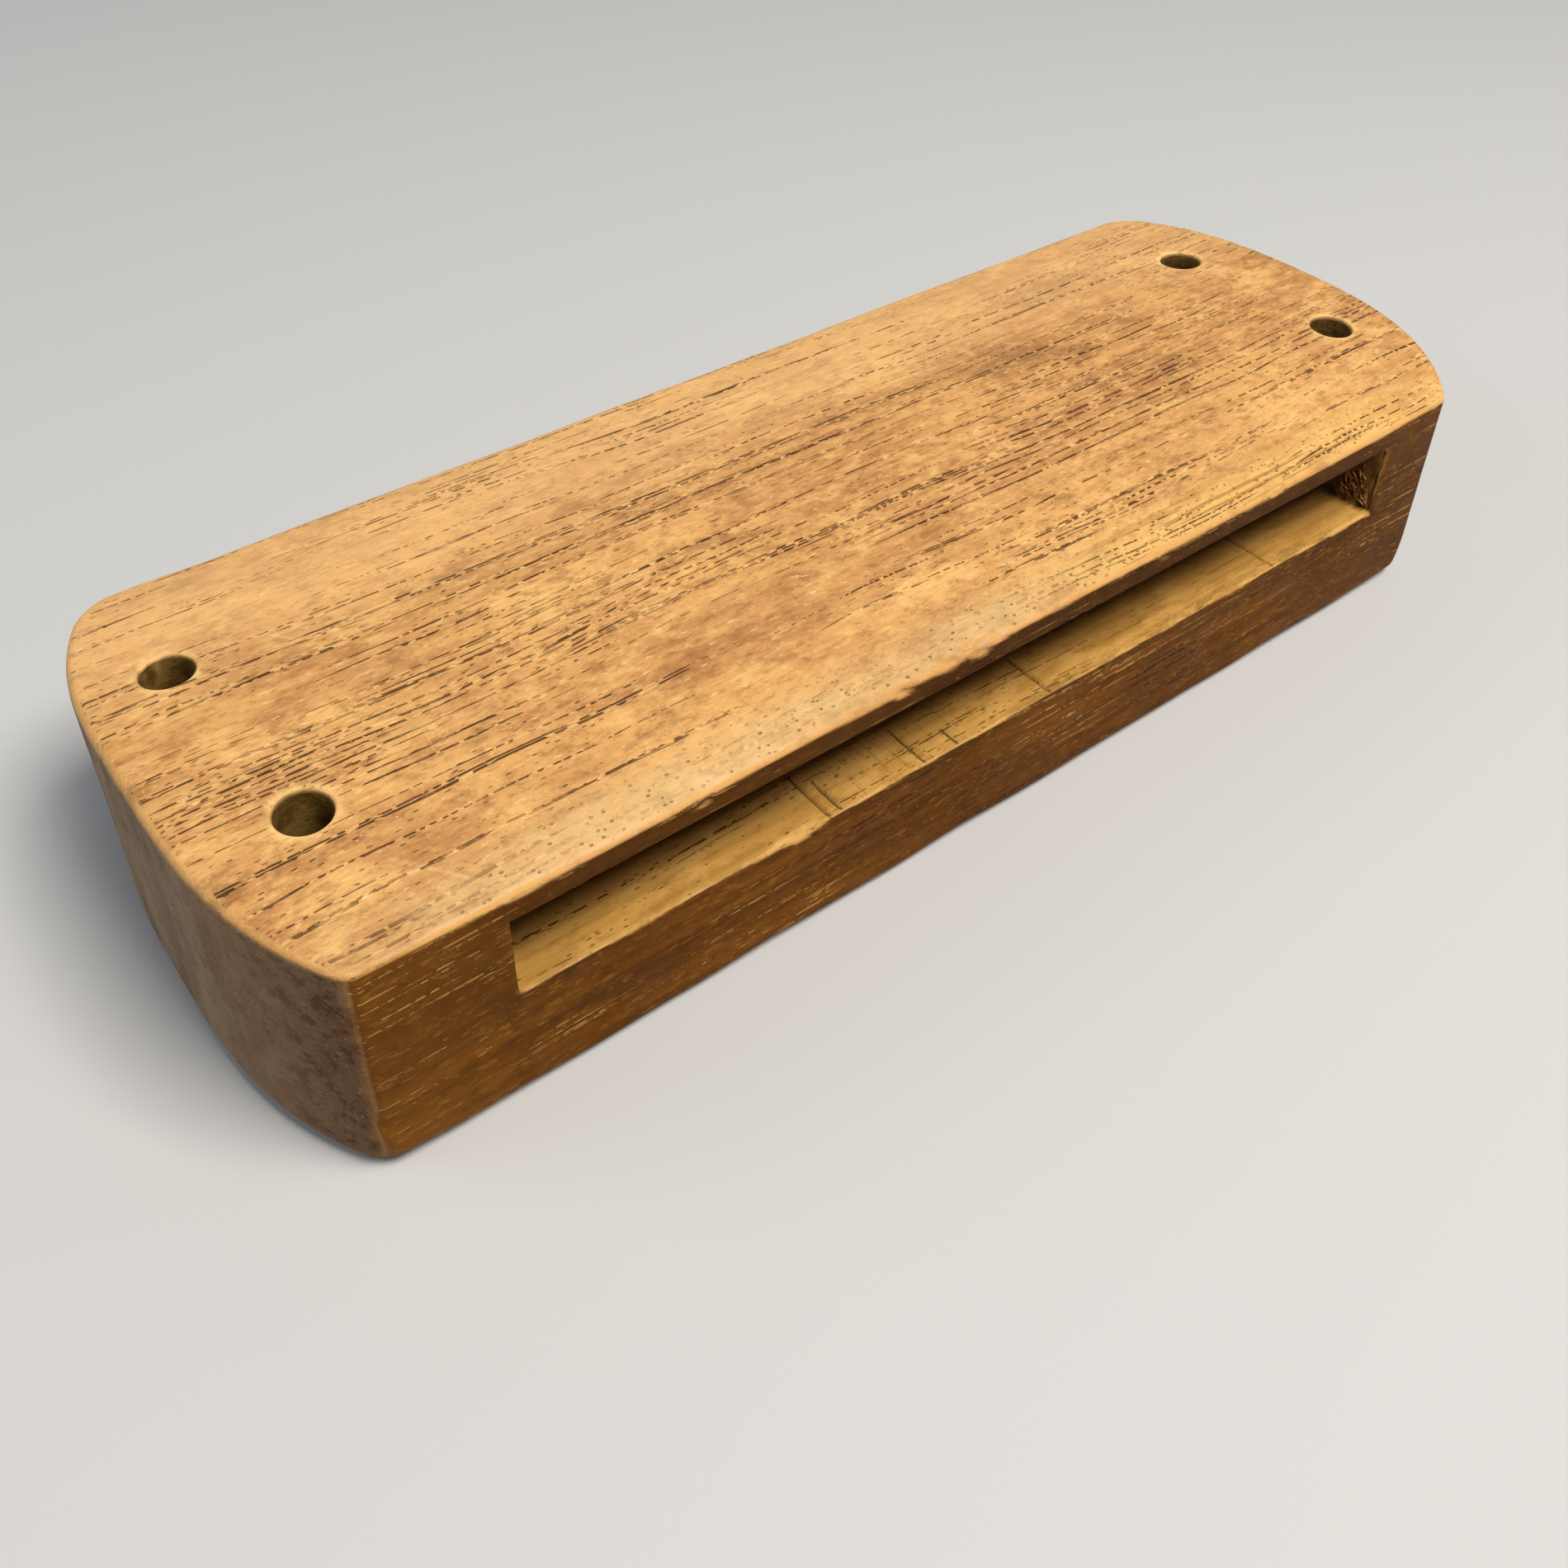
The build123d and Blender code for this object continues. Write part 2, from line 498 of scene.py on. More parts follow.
def slot_marks(x, y, z, normal):
    """Shares of sawn wood in the slot, of the painted shade deep in it and on its end walls, of its
    nicks and of its frayed edge.
    """
    slot = (
        eased(y, FRONT + 0.1, FRONT + 0.4)
        * (SLOT_LEFT - 0.6 < x < SLOT_RIGHT + 3.5)
        * (SLOT_FLOOR - 1.2 < z < SLOT_CEILING + 0.4)
        * (y < SLOT_BACK + 0.2)
        * (abs(normal.z) > 0.3 or y > FRONT + 0.8 or x > SLOT_LEFT + 1)
    )
    # Painted shade on the slot's two end walls, a little lighter at the mouth of the right wall
    painted_wall_shade = (abs(normal.z) < 0.5) * (x < SLOT_LEFT + 0.3)
    if abs(normal.z) < 0.7 and x > SLOT_RIGHT - 0.3:
        painted_wall_shade = 0.85 + 0.15 * eased(y, FRONT + 0.8, FRONT + 3.2)
    nick = 0.0
    # The nicks are painted dark as the shade in their narrow grooves
    if slot and z < SLOT_FLOOR + 0.1:
        nick = min(1.0, saw_nick(x, y) / 0.2)
    burr = (y < FRONT + 1.0) * (0.25 < normal.z < 0.93) * (SLOT_FLOOR - 1.3 < z < SLOT_FLOOR)
    return {
        "slot": slot,
        # deep: painted shade, growing from 3 to 11 mm into the slot, and on its end walls
        "deep": max(eased(y, FRONT + 3, FRONT + 11), painted_wall_shade),
        "nick": nick,
        "burr": burr * (SLOT_LEFT < x < SLOT_RIGHT + 0.5),
    }


def hole_marks(x, y, z, normal):
    """Shares of the darker wall of a hole and of the broken ring round its mouth."""
    ring, bore = 0.0, 0.0
    for centre, radius in HOLES:
        away = math.hypot(x - centre.x, y - centre.y)
        if away < PATCH_RADIUS:
            ragged = away + 0.7 * drift(x * 3 + y * 2, 15, 2)
            ring = 1 - eased(ragged, radius + 0.5, radius + 1.1)
            bore = 1 - eased(abs(normal.z), 0.1, 0.6)
    mouth_top = TOP + CROWN * (1 - (y / BACK) ** 2)
    inside_hole = eased(min(mouth_top - z, z - UNDER), 0.1, 0.6)
    handled_below = 1.0 if z > TOP / 2 else 0.3
    return {"bore": bore, "ring": ring * (1 - bore * inside_hole) * handled_below}


def finish_marks(point, normal):
    """Shares of all the finishes at one point of the surface."""
    x, y, z = point
    marks = slot_marks(x, y, z, normal) | hole_marks(x, y, z, normal)
    outer = (1 - marks["slot"]) * (1 - marks["bore"])
    at_end = abs(x) > SLOT_RIGHT + 8

    # The top reaches down over the struck edge to a ragged line
    arris_low = TOP - struck_fall(x, FRONT) - 0.6 + 0.3 * drift(x, 13, 4) + 0.2 * drift(x, 14, 1.2)
    struck_rim = (y < FRONT + 1.5) * eased(z, arris_low, arris_low + 0.3)
    top = outer * (z > TOP - 3) * max(eased(normal.z, 0.12, 0.36), struck_rim)
    front = outer * eased(-normal.y, 0.66, 0.86) * (1 - top)
    lip = eased(x, SLOT_LEFT - 6, SLOT_LEFT + 4) * (1 - eased(x, SLOT_RIGHT - 4, SLOT_RIGHT + 6))
    lip *= eased(z, SLOT_CEILING - 2, SLOT_CEILING)
    # The band behind the struck edge: worn pale, with a painted highlight where it rounds over
    band = eased(normal.z, 0.45, 0.8) * (1 - eased(y, FRONT + 2.5, FRONT + EDGE_BAND + 1.5))
    rim = eased(normal.z, 0.12, 0.36) * (1 - eased(normal.z, 0.72, 0.92))
    rim *= eased(z, TOP - 2.6, TOP - 1.6)
    upright_corner = eased(min(abs(normal.x), abs(normal.y)), 0.6, 0.68) * (z < TOP - 1)
    return marks | {
        "pale": top * patchy(x, y, PALE_PATCHES),
        "dark": top * patchy(x, y, DARK_PATCHES),
        "lip": lip * front,
        "top": top,
        "front": front,
        "end": outer * at_end * eased(abs(normal.x), 0.5, 0.68) * (1 - top),
        "band": outer * band * (0.3 + 0.7 * played(x)),
        "arris": outer * (1 - front) * rim,
        "corner": outer * at_end * upright_corner,
    }


def block_mesh():
    """The worn block, with a mark for each of its finishes."""
    bar = slotted_bar()
    bmesh.ops.recalc_face_normals(bar, faces=bar.faces)
    bar.normal_update()
    open_hole_cells(bar)
    for vert in bar.verts:
        vert.co = soften(vert.co)
        vert.co.x = bowed(vert.co)
    for centre, radius in HOLES:
        bore_hole(bar, centre, radius)
    for vert in bar.verts:
        vert.co.z = crowned(vert.co)
    bmesh.ops.recalc_face_normals(bar, faces=bar.faces)
    bar.normal_update()
    for vert, place in [(vert, worn(vert.co, vert.normal)) for vert in bar.verts]:
        vert.co = place
    bar.normal_update()
    marks = [finish_marks(vert.co, vert.normal) for vert in bar.verts]
    bmesh.ops.scale(bar, vec=(MM, MM, MM), verts=bar.verts)
    mesh = bpy.data.meshes.new("worn_block")
    bar.to_mesh(mesh)
    bar.free()
    for name in marks[0]:
        shares = mesh.attributes.new(name, "FLOAT", "POINT")
        shares.data.foreach_set("value", [mark[name] for mark in marks])
    for face in mesh.polygons:
        face.use_smooth = True
    return mesh


block = bpy.data.objects.new("worn_block", block_mesh())
bpy.context.scene.collection.objects.link(block)
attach(block, "root")
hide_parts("block")


def splinter(mesh, length, thick, curl):
    """Grow one thin curled splinter upwards from the origin, and return its points."""
    points = bmesh.ops.create_circle(mesh, cap_ends=True, segments=6, radius=thick)["verts"]
    tip = points[0].link_faces[0]
    steps = 5
    for step in range(1, steps + 1):
        grown = bmesh.ops.extrude_face_region(mesh, geom=[tip])["geom"]
        if step > 1:
            bmesh.ops.delete(mesh, geom=[tip], context="FACES_ONLY")
        ring = [part for part in grown if isinstance(part, bmesh.types.BMVert)]
        tip = [part for part in grown if isinstance(part, bmesh.types.BMFace)][0]
        bmesh.ops.translate(mesh, vec=(curl * step, 0, length / steps), verts=ring)
        middle = Matrix.Translation(-tip.calc_center_median())
        bmesh.ops.scale(mesh, vec=(0.7, 0.7, 1), space=middle, verts=ring)
        points = points + ring
    return points


def torn_fibres():
    """Splinters left standing where the right end of the slot was broken out."""
    draw = random.Random(5)
    splinters = bmesh.new()
    root = Vector((SLOT_RIGHT + 0.8, FRONT + 0.8, SLOT_FLOOR - 0.1))
    for _ in range(70):
        length = draw.uniform(1.4, 3.6)
        points = splinter(splinters, length, draw.uniform(0.1, 0.26), draw.uniform(-0.02, 0.02))
        spot = (draw.uniform(0.2, 1.0), draw.uniform(0, 4.5), draw.triangular(0, 6.0, 0.2))
        start = root + Vector(spot)
        lean = Vector((draw.uniform(-0.6, -0.3), draw.uniform(-0.12, 0.12), draw.uniform(0.5, 0.9)))
        turn = lean.to_track_quat("Z", "Y").to_matrix() @ Matrix.Rotation(draw.uniform(0, 3), 3, "Z")
        bmesh.ops.transform(splinters, matrix=turn.to_4x4(), verts=points)
        bmesh.ops.translate(splinters, vec=start, verts=points)
    for vert in splinters.verts:
        vert.co.y = max(vert.co.y, FRONT + 0.15)
        vert.co.z = max(vert.co.z, SLOT_FLOOR - 0.3)
    bmesh.ops.recalc_face_normals(splinters, faces=splinters.faces)
    bmesh.ops.scale(splinters, vec=(MM, MM, MM), verts=splinters.verts)
    mesh = bpy.data.meshes.new("torn_fibres")
    splinters.to_mesh(mesh)
    splinters.free()
    for face in mesh.polygons:
        face.use_smooth = True
    return mesh


fibres = bpy.data.objects.new("torn_fibres", torn_fibres())
bpy.context.scene.collection.objects.link(fibres)
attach(fibres, "root")


# ---------------------------------------------------------------------------
# Finish of the wood
# ---------------------------------------------------------------------------
def shade(red, green, blue):
    """A colour as a paint chart gives it, 0 to 255, turned into the linear one that a shader takes."""
    parts = [part / 255 for part in (red, green, blue)]
    return tuple(p / 12.92 if p <= 0.04045 else ((p + 0.055) / 1.055) ** 2.4 for p in parts) + (1.0,)


class Level:
    """A number that varies over a surface, with ordinary arithmetic."""

    def __init__(self, finish, socket):
        self.finish = finish
        self.socket = socket

    def maths(self, operation, first, second, clamp=False):
        """The level that one Math node makes of two levels or numbers."""
        settings = {"operation": operation, "use_clamp": clamp}
        return self.finish.add("ShaderNodeMath", settings, {0: first, 1: second})

    def __add__(self, other):
        return self.maths("ADD", self, other)

    def __radd__(self, other):
        return self.maths("ADD", other, self)

    def __sub__(self, other):
        return self.maths("SUBTRACT", self, other)

    def __rsub__(self, other):
        return self.maths("SUBTRACT", other, self)

    def __mul__(self, other):
        return self.maths("MULTIPLY", self, other)

    def __rmul__(self, other):
        return self.maths("MULTIPLY", other, self)

    def clamped(self):
        """The level held between 0 and 1."""
        return self.maths("ADD", self, 0.0, clamp=True)

    def most(self, other):
        """The greater of two levels."""
        return self.maths("MAXIMUM", self, other)


class Finish:
    """A material, with the one method that adds a node to it."""

    def __init__(self, name):
        self.material = bpy.data.materials.new(name)
        self.material.use_nodes = True
        self.tree = self.material.node_tree
        self.surface = self.tree.nodes["Principled BSDF"]

    def add(self, kind, settings, sockets, output=0):
        """Add a node: its type, its settings, then the numbers or levels of its sockets."""
        node = self.tree.nodes.new(kind)
        for name, setting in settings.items():
            setattr(node, name, setting)
        for name, level in sockets.items():
            self.feed(node.inputs[name], level)
        return Level(self, node.outputs[output])

    def feed(self, socket, level):
        """Give a socket a level, or a number, colour or vector."""
        if isinstance(level, Level):
            self.tree.links.new(level.socket, socket)
        else:
            socket.default_value = level

    def mark(self, name):
        """One of the shares kept on the mesh."""
        return self.add("ShaderNodeAttribute", {"attribute_name": name}, {}, "Fac")

    def millimetres(self):
        """The place on the piece, in millimetres."""
        place = self.add("ShaderNodeTexCoord", {}, {}, "Object")
        return self.add("ShaderNodeVectorMath", {"operation": "SCALE"}, {0: place, "Scale": 1 / MM})

    def stretched(self, place, size, shift=(0, 0, 0), turn=0.0):
        """Coordinates in which one cell of a pattern is size millimetres, turned by some degrees."""
        spin = (0, 0, math.radians(turn))
        sockets = {"Vector": place, "Location": shift, "Scale": size, "Rotation": spin}
        return self.add("ShaderNodeMapping", {"vector_type": "TEXTURE"}, sockets)

    def cloud(self, place, detail=2.0, roughness=0.5):
        """Soft noise about 0.5, with a cell of 1."""
        sockets = {"Vector": place, "Scale": 1.0, "Detail": detail, "Roughness": roughness}
        return self.add("ShaderNodeTexNoise", {}, sockets, "Fac")

    def specks(self, place, reach, sharpness=14.0):
        """1 at the scattered middles of a pattern's cells, falling to 0 at reach, a share of a cell."""
        sockets = {"Vector": place, "Scale": 1.0}
        away = self.add("ShaderNodeTexVoronoi", {"feature": "F1"}, sockets, "Distance")
        return ((reach - away) * sharpness).clamped()

    def between(self, level, low, high):
        """0 at low and 1 at high, smooth between them, whichever of the two is greater."""
        sockets = {"Value": level, "From Min": low, "From Max": high}
        return self.add("ShaderNodeMapRange", {"interpolation_type": "SMOOTHSTEP"}, sockets)

    def blend(self, share, under, over):
        """Lay a share of one colour over another."""
        return self.add("ShaderNodeMix", {"data_type": "RGBA"}, {0: share, 6: under, 7: over}, 2)

    def layered(self, colour, layers):
        """Lay colours over one: strength, level, where it starts to show, where it is full, colour."""
        for strength, level, start, full, over in layers:
            colour = self.blend(strength * self.between(level, start, full), colour, over)
        return colour

    def bump(self, height, depth, normal=None):
        """Raise a surface by height, a 0 to 1 level, times depth in millimetres."""
        sockets = {"Height": height, "Distance": depth * MM, "Strength": 1.0}
        if normal:
            sockets["Normal"] = normal
        return self.add("ShaderNodeBump", {}, sockets, "Normal")


def pores(finish, place):
    """Open pores: thin vessels along the grain, broken into dashes, with painted glints of light
    between them.
    """
    sway = finish.cloud(finish.stretched(place, (70, 30, 30), (3, 8, 1)), 1.0)
    stray = finish.cloud(finish.stretched(place, (12, 1.8, 1.8), (1, 6, 4)), 0.0)
    aside = {"X": 0.0, "Y": sway * 5.0 + stray * 0.8, "Z": sway * 1.6}
    bent = finish.add("ShaderNodeCombineXYZ", {}, aside)
    grain = finish.add("ShaderNodeVectorMath", {"operation": "ADD"}, {0: place, 1: bent})
    crowd = finish.cloud(finish.stretched(grain, (50, 9, 9), (4, 1, 7)), 2.0)
    crowded = finish.between(crowd, 0.32, 0.56)
    stray_dashes = finish.stretched(grain, (2.6, 0.5, 0.5), (0.6, 5.1, 2.3))
    stray_glints = finish.stretched(grain, (1.5, 0.55, 0.55), (2.6, 1.1, 4.3))
    dark = 0.8 * finish.specks(stray_dashes, 0.16 * crowded)
    # Painted glints: pale specks where the pits' rims catch the light
    glints = finish.specks(stray_glints, 0.13 * crowded)
    across = finish.add("ShaderNodeSeparateXYZ", {}, {"Vector": grain}, "Y")
    height = finish.add("ShaderNodeSeparateXYZ", {}, {"Vector": grain}, "Z")
    for gap, dash, seed in [(0.8, 0.85, 11), (1.1, 1.6, 23)]:
        end_on = {"X": across * (1 / gap), "Y": height * (1 / gap) + seed, "Z": 0.0}
        section = finish.add("ShaderNodeCombineXYZ", {}, end_on)
        cells = {"feature": "F1", "voronoi_dimensions": "2D"}
        away = finish.add("ShaderNodeTexVoronoi", cells, {"Vector": section, "Scale": 1.0}, "Distance")
        vessel = ((0.05 + 0.11 * crowded - away) * 30.0).clamped()
        broken = finish.cloud(finish.stretched(grain, (dash, 0.8, 0.8), (seed, 9, 2)), 0.0)
        dark = dark.most(vessel * finish.between(broken + 0.1 * crowded, 0.53, 0.58))
        # Painted glints along the vessels, between their dark dashes
        glints = glints.most(0.6 * vessel * finish.between(broken, 0.38, 0.34))
    return dark, glints


def scratches(finish, place):
    """Fine scratches at mixed angles over the top, some of them curved."""
    curl = finish.cloud(finish.stretched(place, (30, 30, 30), (6, 2, 9)), 0.0)
    pushed = finish.add("ShaderNodeCombineXYZ", {}, {"X": curl * 14.0, "Y": curl * -10.0, "Z": 0.0})
    curved = finish.add("ShaderNodeVectorMath", {"operation": "ADD"}, {0: place, 1: pushed})
    total = None
    fine = [(24, 70, 1.3), (68, 50, 1.6), (112, 40, 1.6), (158, 80, 1.2), (90, 24, 1.9)]
    broad = [(15, 110, 6.0), (125, 90, 7.0)]
    for turn, length, gap in fine + broad:
        lines = finish.stretched(curved, (length, gap, 400), (turn * 1.7, turn * 0.9, 0), turn)
        line = finish.specks(lines, 0.06)
        total = total.most(line) if total else line
    return total


# The shares kept on the mesh
MARKS = (
    "slot", "deep", "nick", "burr", "bore", "ring", "top", "front", "end",
    "lip", "band", "arris", "corner", "pale", "dark",
)


class WornWood(Finish):
    """The block's open-grained wood: its patterns, and the colour of each of its surfaces."""

    def __init__(self):
        super().__init__("worn_open_grained_wood")
        self.place = self.millimetres()
        self.marks = {name: self.mark(name) for name in MARKS}
        self.along = self.add("ShaderNodeSeparateXYZ", {}, {"Vector": self.place}, "X")
        self.depth = self.add("ShaderNodeSeparateXYZ", {}, {"Vector": self.place}, "Y")
        self.open_pores, self.painted_glints = pores(self, self.place)
        self.streak = self.pattern((60, 1.6, 1.6), (9, 1, 7), 4.0, 0.6)
        self.fibre = self.pattern((5, 0.25, 0.25), (2, 4, 6), 3.0)
        self.wide = self.pattern((34, 20, 20), (5, 2, 8), 3.0, 0.55)
        self.blotch = self.pattern((9, 5, 5), (1, 7, 2), 7.0, 0.7)
        self.pitted = self.pattern((2.0, 0.6, 0.6), (4, 2, 9), 4.0, 0.6)
        self.mottle = self.pattern((3.4, 2.0, 2.0), (8, 3, 1), 5.0, 0.72)
        self.rubbed = self.between(self.blotch, 0.36, 0.6)
        self.golden = self.between(self.along, -4, 24)  # the struck edge's right half

    def pattern(self, size, shift, detail, roughness=0.5):
        """Soft noise with a cell of size millimetres."""
        return self.cloud(self.stretched(self.place, size, shift), detail, roughness)

    def top_colour(self):
        """Tan streaks along the grain under a mottled skin worn by handling, with painted glints, and
        painted light making it paler towards the back.
        """
        pale = self.blotch + 0.22 * self.marks["pale"] - 0.2 * self.marks["dark"]
        tan = self.blend(self.between(self.streak, 0.3, 0.7), shade(180, 127, 76), shade(206, 154, 93))
        tan = self.layered(tan, [
            (1.0, self.wide, 0.4, 0.65, shade(214, 162, 98)),
            (0.75, pale, 0.52, 0.66, shade(226, 178, 110)),
            (0.6, pale, 0.46, 0.32, shade(138, 94, 56)),
            (0.5, self.mottle, 0.5, 0.34, shade(142, 92, 54)),
            (0.55, self.mottle, 0.52, 0.68, shade(228, 180, 114)),
            (0.4, self.pitted, 0.46, 0.32, shade(124, 78, 42)),
            # Painted glints: pale flecks where the pits catch the light
            (0.5, self.pitted, 0.6, 0.7, shade(244, 204, 142)),
        ])
        # Painted glints of the pores
        tan = self.blend(0.55 * self.painted_glints, tan, shade(250, 214, 142))
        # Painted light: the top made paler towards the back, where more light fell
        return self.layered(tan, [(0.35, self.depth, 4, 24, shade(242, 194, 132))])

    def side_colour(self):
        """Darker patina from handling, made darker still as painted shade: golden at the left, dark at
        the right and darkest over the slot.
        """
        # Patina, made darker still as painted shade on the sides turned away from the light
        patina_and_shade = self.blend(self.between(self.streak, 0.3, 0.7), shade(88, 50, 6), shade(116, 68, 12))
        patina_and_shade = self.layered(patina_and_shade, [
            (0.5, self.along, -66, -94, shade(132, 84, 26)),
            (0.6, self.along, 50, 88, shade(74, 44, 16)),
            (0.5, self.mottle, 0.5, 0.68, shade(134, 84, 22)),
            (0.45, self.mottle, 0.48, 0.34, shade(66, 36, 6)),
            (0.3, self.wide, 0.55, 0.4, shade(70, 38, 6)),
            (0.4, self.pitted, 0.56, 0.68, shade(160, 108, 40)),
        ])
        return self.blend(0.6 * self.marks["lip"], patina_and_shade, shade(58, 30, 4))

    def end_colour(self):
        """Hazy end grain, browner and darker towards the slotted side, with dark spots near its front
        corner.
        """
        haze = self.pattern((40, 5, 14), (4, 4, 4), 4.0, 0.6)
        toward_front = self.between(self.depth, -22, -34)
        end_wood = self.blend(self.between(haze, 0.3, 0.7), shade(118, 96, 76), shade(148, 124, 100))
        end_wood = self.layered(end_wood, [
            (0.6, self.depth, -6, -28, shade(118, 82, 52)),
            (0.5, self.mottle, 0.49, 0.34, shade(98, 68, 48)),
            (0.4, self.blotch, 0.5, 0.62, shade(138, 122, 102)),
        ])
        end_wood = self.blend(0.4 * toward_front, end_wood, shade(82, 52, 32))
        return self.layered(end_wood, [
            (0.5 * toward_front, self.mottle, 0.52, 0.42, shade(56, 34, 20)),
            (0.4, self.pitted, 0.56, 0.7, shade(156, 130, 100)),
        ])

    def slot_colour(self):
        """Sawn wood, rippled by the saw left of the middle, with painted shade deep in the slot, on its
        end walls and in its nicks.
        """
        ripple = self.pattern((0.3, 9, 60), (7, 3, 3), 1.0)
        rippled = self.between(self.along, -29.5, -24) * self.between(self.along, -3, -9)
        sawn = self.blend(self.between(self.streak, 0.3, 0.7), shade(158, 116, 54), shade(188, 142, 72))
        sawn = self.layered(sawn, [
            (0.55, self.blotch, 0.45, 0.6, shade(204, 158, 86)),
            (0.3 * rippled, ripple, 0.55, 0.68, shade(96, 60, 22)),
            (0.3, self.mottle, 0.48, 0.34, shade(120, 80, 30)),
        ])
        # Painted shade deep in the slot and on its end walls
        sawn = self.blend(0.85 * self.marks["deep"], sawn, shade(58, 30, 8))
        # Painted shade in the saw nicks' grooves
        return self.blend(0.95 * self.marks["nick"], sawn, shade(30, 16, 6))

    def bore_colour(self):
        """The walls of the holes, darker than the wood outside them."""
        return self.blend(self.between(self.mottle, 0.4, 0.6), shade(84, 62, 28), shade(120, 92, 44))

    def clean_colour(self):
        """Every surface in its own colour, before its pores and its wear."""
        marks = self.marks
        sides = (1 - marks["top"] - marks["end"] - marks["slot"] - marks["bore"]).clamped()
        colour = self.blend(sides, self.top_colour(), self.side_colour())
        colour = self.blend(marks["end"], colour, self.end_colour())
        colour = self.blend(marks["slot"], colour, self.slot_colour())
        return self.blend(marks["bore"], colour, self.bore_colour())

    def dark_pores(self):
        """Open pores that show dark, drawn in to dots on the left half of the struck edge."""
        marks = self.marks
        dots = self.specks(self.stretched(self.place, (1.2, 0.8, 0.8), (5, 2, 2)), 0.22)
        sawn = self.specks(self.stretched(self.place, (2.0, 0.7, 0.7), (7, 2, 4)), 0.2)
        dots = dots * marks["band"] * self.between(self.blotch, 0.42, 0.54)
        dots = dots + sawn * marks["slot"] * self.between(self.blotch, 0.44, 0.56)
        vessels = self.open_pores * (1 - 0.8 * marks["band"] * (1 - self.golden))
        shown = (1 - marks["bore"]) * (1 - 0.75 * marks["end"]) * (1 - marks["arris"])
        shown = shown * (0.45 + 0.55 * self.between(self.blotch, 0.6, 0.46))
        shown = shown * (1 - 0.75 * marks["slot"] * self.between(self.along, -10, 25))
        return vessels.most(0.95 * dots) * shown

    def with_pores(self, colour, dark_pores):
        """Pores dark on most of the block, chalky with dust in places on the front, and with painted
        glints on the front.
        """
        low_left = self.between(self.along, -50, -84)
        chalked = (self.between(self.wide, 0.42, 0.56) + low_left).clamped() * self.marks["front"]
        colour = self.blend(0.85 * dark_pores, colour, shade(50, 24, 10))
        colour = self.blend(0.8 * chalked * self.open_pores, colour, shade(196, 146, 76))
        # Painted glints on the front
        return self.blend(0.5 * self.marks["front"] * self.painted_glints, colour, shade(176, 124, 58))

    def with_wear(self, colour, dark_pores, cuts):
        """The pale struck edge, worn and with a painted highlight, rubbed rims and corners, the holes'
        rings and the scratches.
        """
        marks = self.marks
        drawn_out = self.pattern((26, 0.8, 0.8), (3, 5, 1), 2.0)
        # The band's colour: bleached wear with a painted highlight
        bleached_and_highlit = self.blend(self.golden, shade(204, 174, 120), shade(226, 184, 104))
        band = marks["band"] * (0.25 + 0.35 * self.rubbed) * (1 - dark_pores)
        lined = self.golden * self.between(self.along, 76, 58) * self.between(drawn_out, 0.54, 0.62)
        colour = self.blend(band, colour, bleached_and_highlit)
        colour = self.blend(0.55 * marks["band"] * lined, colour, shade(136, 88, 38))
        colour = self.blend(marks["arris"] * (0.3 + 0.6 * self.rubbed), colour, shade(214, 162, 94))
        colour = self.blend(0.35 * marks["corner"] * self.rubbed, colour, shade(160, 114, 62))
        colour = self.blend(0.7 * marks["burr"] * self.rubbed, colour, shade(216, 170, 98))
        colour = self.blend(marks["ring"] * (0.15 + 0.7 * self.rubbed), colour, shade(240, 200, 128))
        return self.layered(colour, [(0.7 * cuts, self.blotch, 0.35, 0.6, shade(236, 198, 138))])


def worn_wood():
    """The block's material: its colour, gloss and fine relief."""
    wood = WornWood()
    marks = wood.marks
    dark_pores = wood.dark_pores()
    cuts = scratches(wood, wood.place) * marks["top"]
    colour = wood.with_pores(wood.clean_colour(), dark_pores)
    wood.feed(wood.surface.inputs["Base Color"], wood.with_wear(colour, dark_pores, cuts))
    bare = marks["slot"] + marks["bore"] + marks["end"]
    rough = 0.42 + 0.16 * wood.between(wood.blotch, 0.4, 0.7) + 0.2 * bare
    wood.feed(wood.surface.inputs["Roughness"], rough)
    wood.surface.inputs["Specular IOR Level"].default_value = 0.04
    wood.surface.inputs["Coat Roughness"].default_value = 0.34
    polish = (0.15 * marks["top"] + 0.1 * marks["band"]).clamped()
    wood.feed(wood.surface.inputs["Coat Weight"], polish)
    relief = wood.bump(wood.fibre * 0.4 + wood.pitted * (0.25 + 0.75 * marks["top"]), 0.13)
    relief = wood.bump(1 - dark_pores, 0.25, relief)
    relief = wood.bump(1 - cuts, 0.05, relief)
    wood.feed(wood.surface.inputs["Normal"], relief)
    return wood.material


def torn_wood():
    """Pale, fuzzy broken wood."""
    torn = Finish("torn_wood")
    place = torn.millimetres()
    strand = torn.cloud(torn.stretched(place, (1.2, 0.4, 0.4), (3, 1, 2)), 3.0)
    colour = torn.blend(torn.between(strand, 0.35, 0.65), shade(120, 78, 36), shade(206, 158, 94))
    torn.feed(torn.surface.inputs["Base Color"], colour)
    torn.feed(torn.surface.inputs["Roughness"], 0.55 + 0.3 * strand)
    torn.feed(torn.surface.inputs["Normal"], torn.bump(strand, 0.08))
    return torn.material


block.data.materials.append(worn_wood())
fibres.data.materials.append(torn_wood())


# ---------------------------------------------------------------------------
# Floor, light and camera
# ---------------------------------------------------------------------------
FLOOR_REACH = 4.0  # metres from its middle to each side
LENS = 37.02
LENS_SHIFT = -0.1196
VIEWPOINT = (-0.11546, -0.13359, 0.15147)  # metres
# Degrees: heading from +X towards +Y, pitch above level, roll anticlockwise
HEADING, PITCH, ROLL = 51.59, -38.15, 0.86


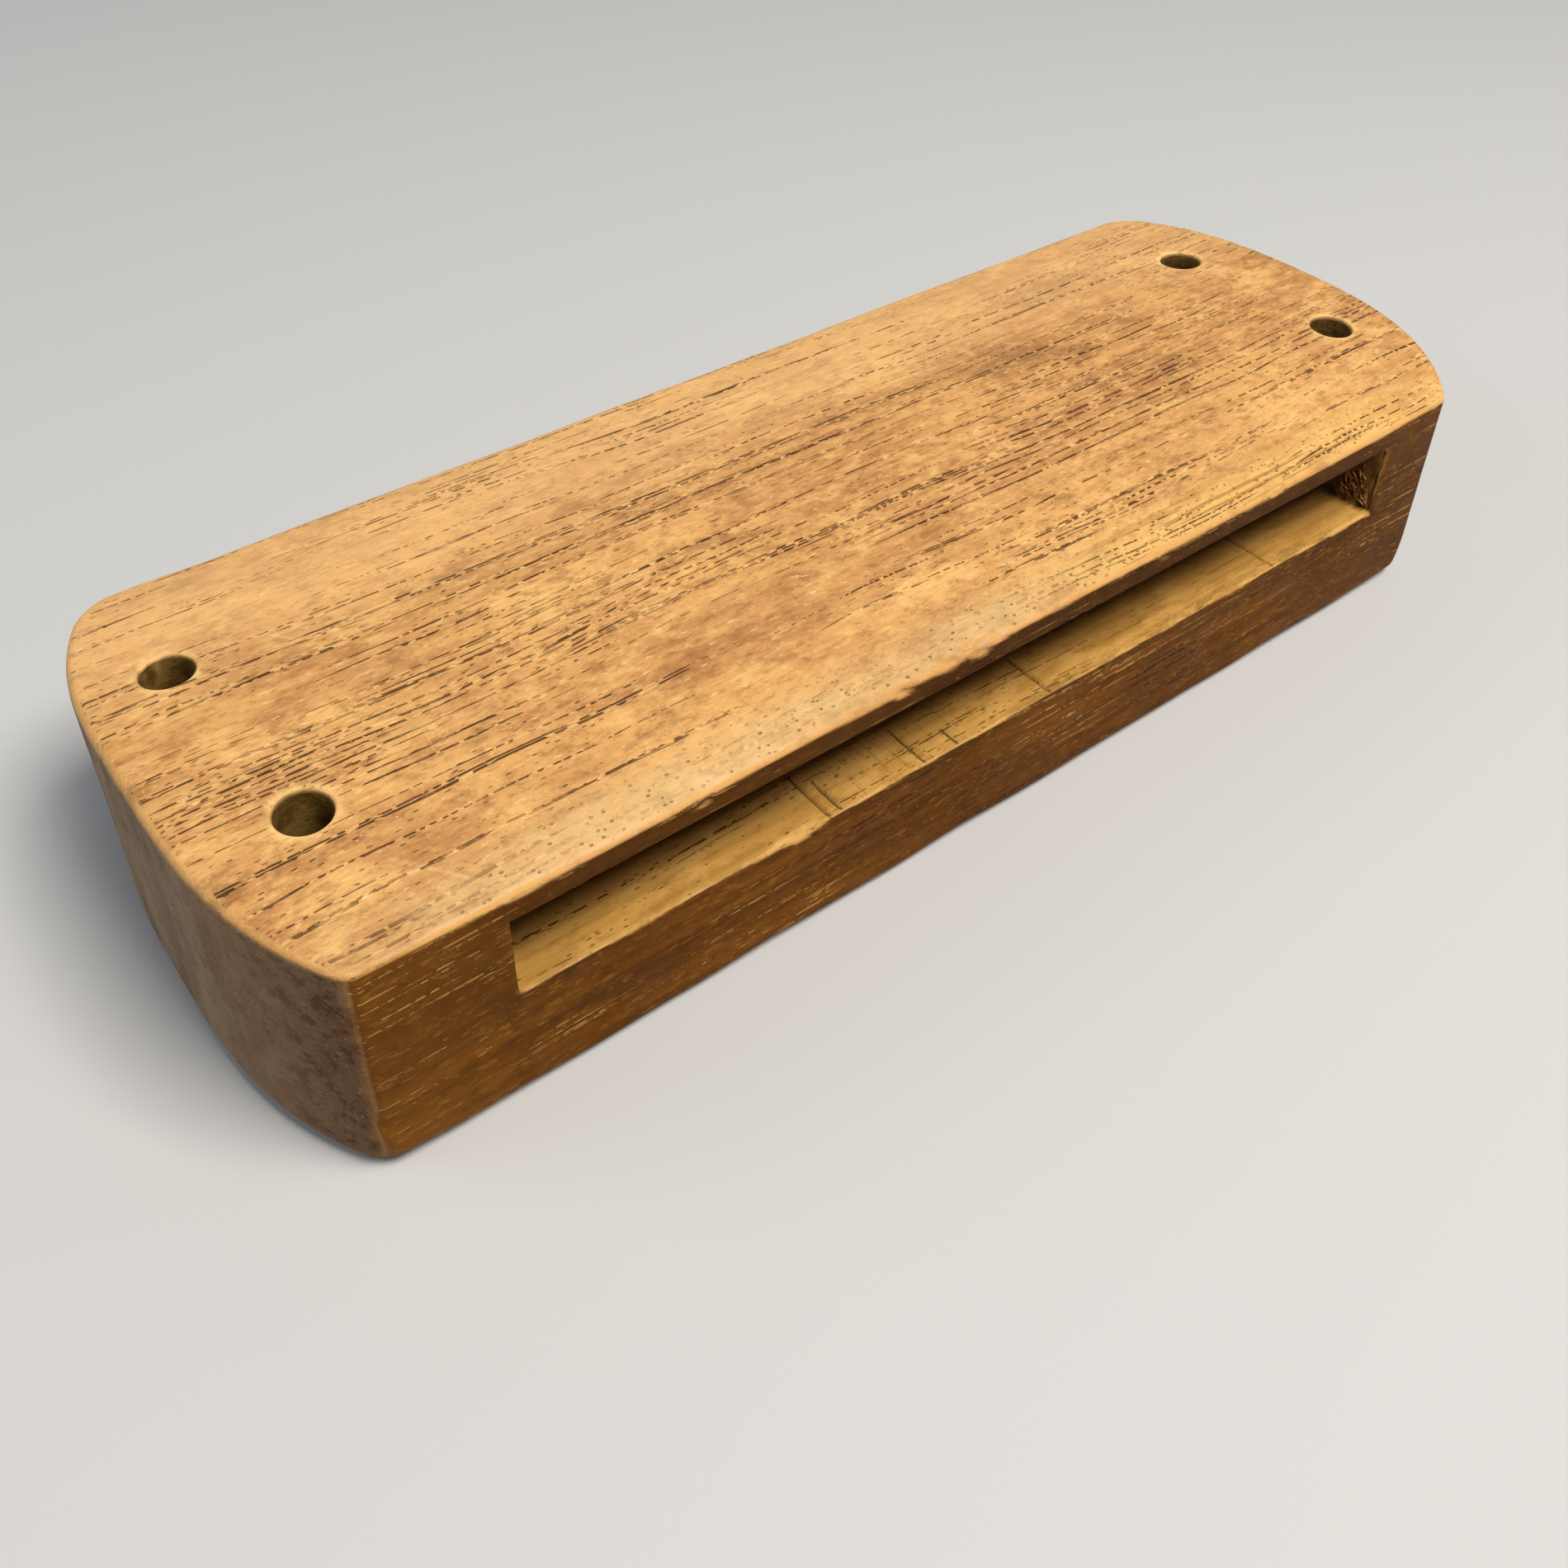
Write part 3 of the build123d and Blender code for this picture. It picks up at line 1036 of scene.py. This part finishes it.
def floor():
    """A plain pale floor under the block."""
    slab = bmesh.new()
    bmesh.ops.create_grid(slab, x_segments=1, y_segments=1, size=FLOOR_REACH)
    mesh = bpy.data.meshes.new("floor")
    slab.to_mesh(mesh)
    slab.free()
    ground = bpy.data.objects.new("floor", mesh)
    bpy.context.scene.collection.objects.link(ground)
    paint = bpy.data.materials.new("pale_floor")
    paint.use_nodes = True
    surface = paint.node_tree.nodes["Principled BSDF"]
    surface.inputs["Base Color"].default_value = (0.55, 0.55, 0.54, 1)
    surface.inputs["Roughness"].default_value = 0.9
    mesh.materials.append(paint)


def softbox(name, place, aim, size, power, colour):
    """A soft rectangular light, turned to face its aim."""
    light = bpy.data.lights.new(name, "AREA")
    light.shape = "RECTANGLE"
    light.size, light.size_y = size
    light.energy = power
    light.color = colour
    lamp = bpy.data.objects.new(name, light)
    bpy.context.scene.collection.objects.link(lamp)
    lamp.location = place
    lamp.rotation_euler = (Vector(aim) - Vector(place)).to_track_quat("-Z", "Y").to_euler()


def camera():
    """Standing over the near left corner, looking down along the block."""
    lens = bpy.data.cameras.new("camera")
    lens.sensor_width = 36.0
    lens.lens = LENS
    lens.shift_y = LENS_SHIFT
    lens.clip_start = 0.01
    viewer = bpy.data.objects.new("camera", lens)
    bpy.context.scene.collection.objects.link(viewer)
    heading, pitch, roll = (math.radians(angle) for angle in (HEADING, PITCH, ROLL))
    turn = (
        Matrix.Rotation(heading - math.pi / 2, 4, "Z")
        @ Matrix.Rotation(math.pi / 2 + pitch, 4, "X")
        @ Matrix.Rotation(roll, 4, "Z")
    )
    viewer.matrix_world = Matrix.Translation(VIEWPOINT) @ turn
    bpy.context.scene.camera = viewer
    bpy.context.scene.view_settings.view_transform = "Standard"  # finishes show as they are mixed


floor()
softbox("overhead", (0.12, -0.42, 0.86), (0, 0, 0.02), (0.42, 0.42), 11.0, (1.0, 0.95, 0.88))
softbox("window", (-0.9, 0.5, 0.5), (0, 0, 0.02), (0.7, 0.7), 3.0, (0.86, 0.92, 1.0))
world = bpy.data.worlds.new("studio")
world.use_nodes = True
world.node_tree.nodes["Background"].inputs["Color"].default_value = (0.8, 0.85, 0.95, 1)
world.node_tree.nodes["Background"].inputs["Strength"].default_value = 0.25
bpy.context.scene.world = world
camera()
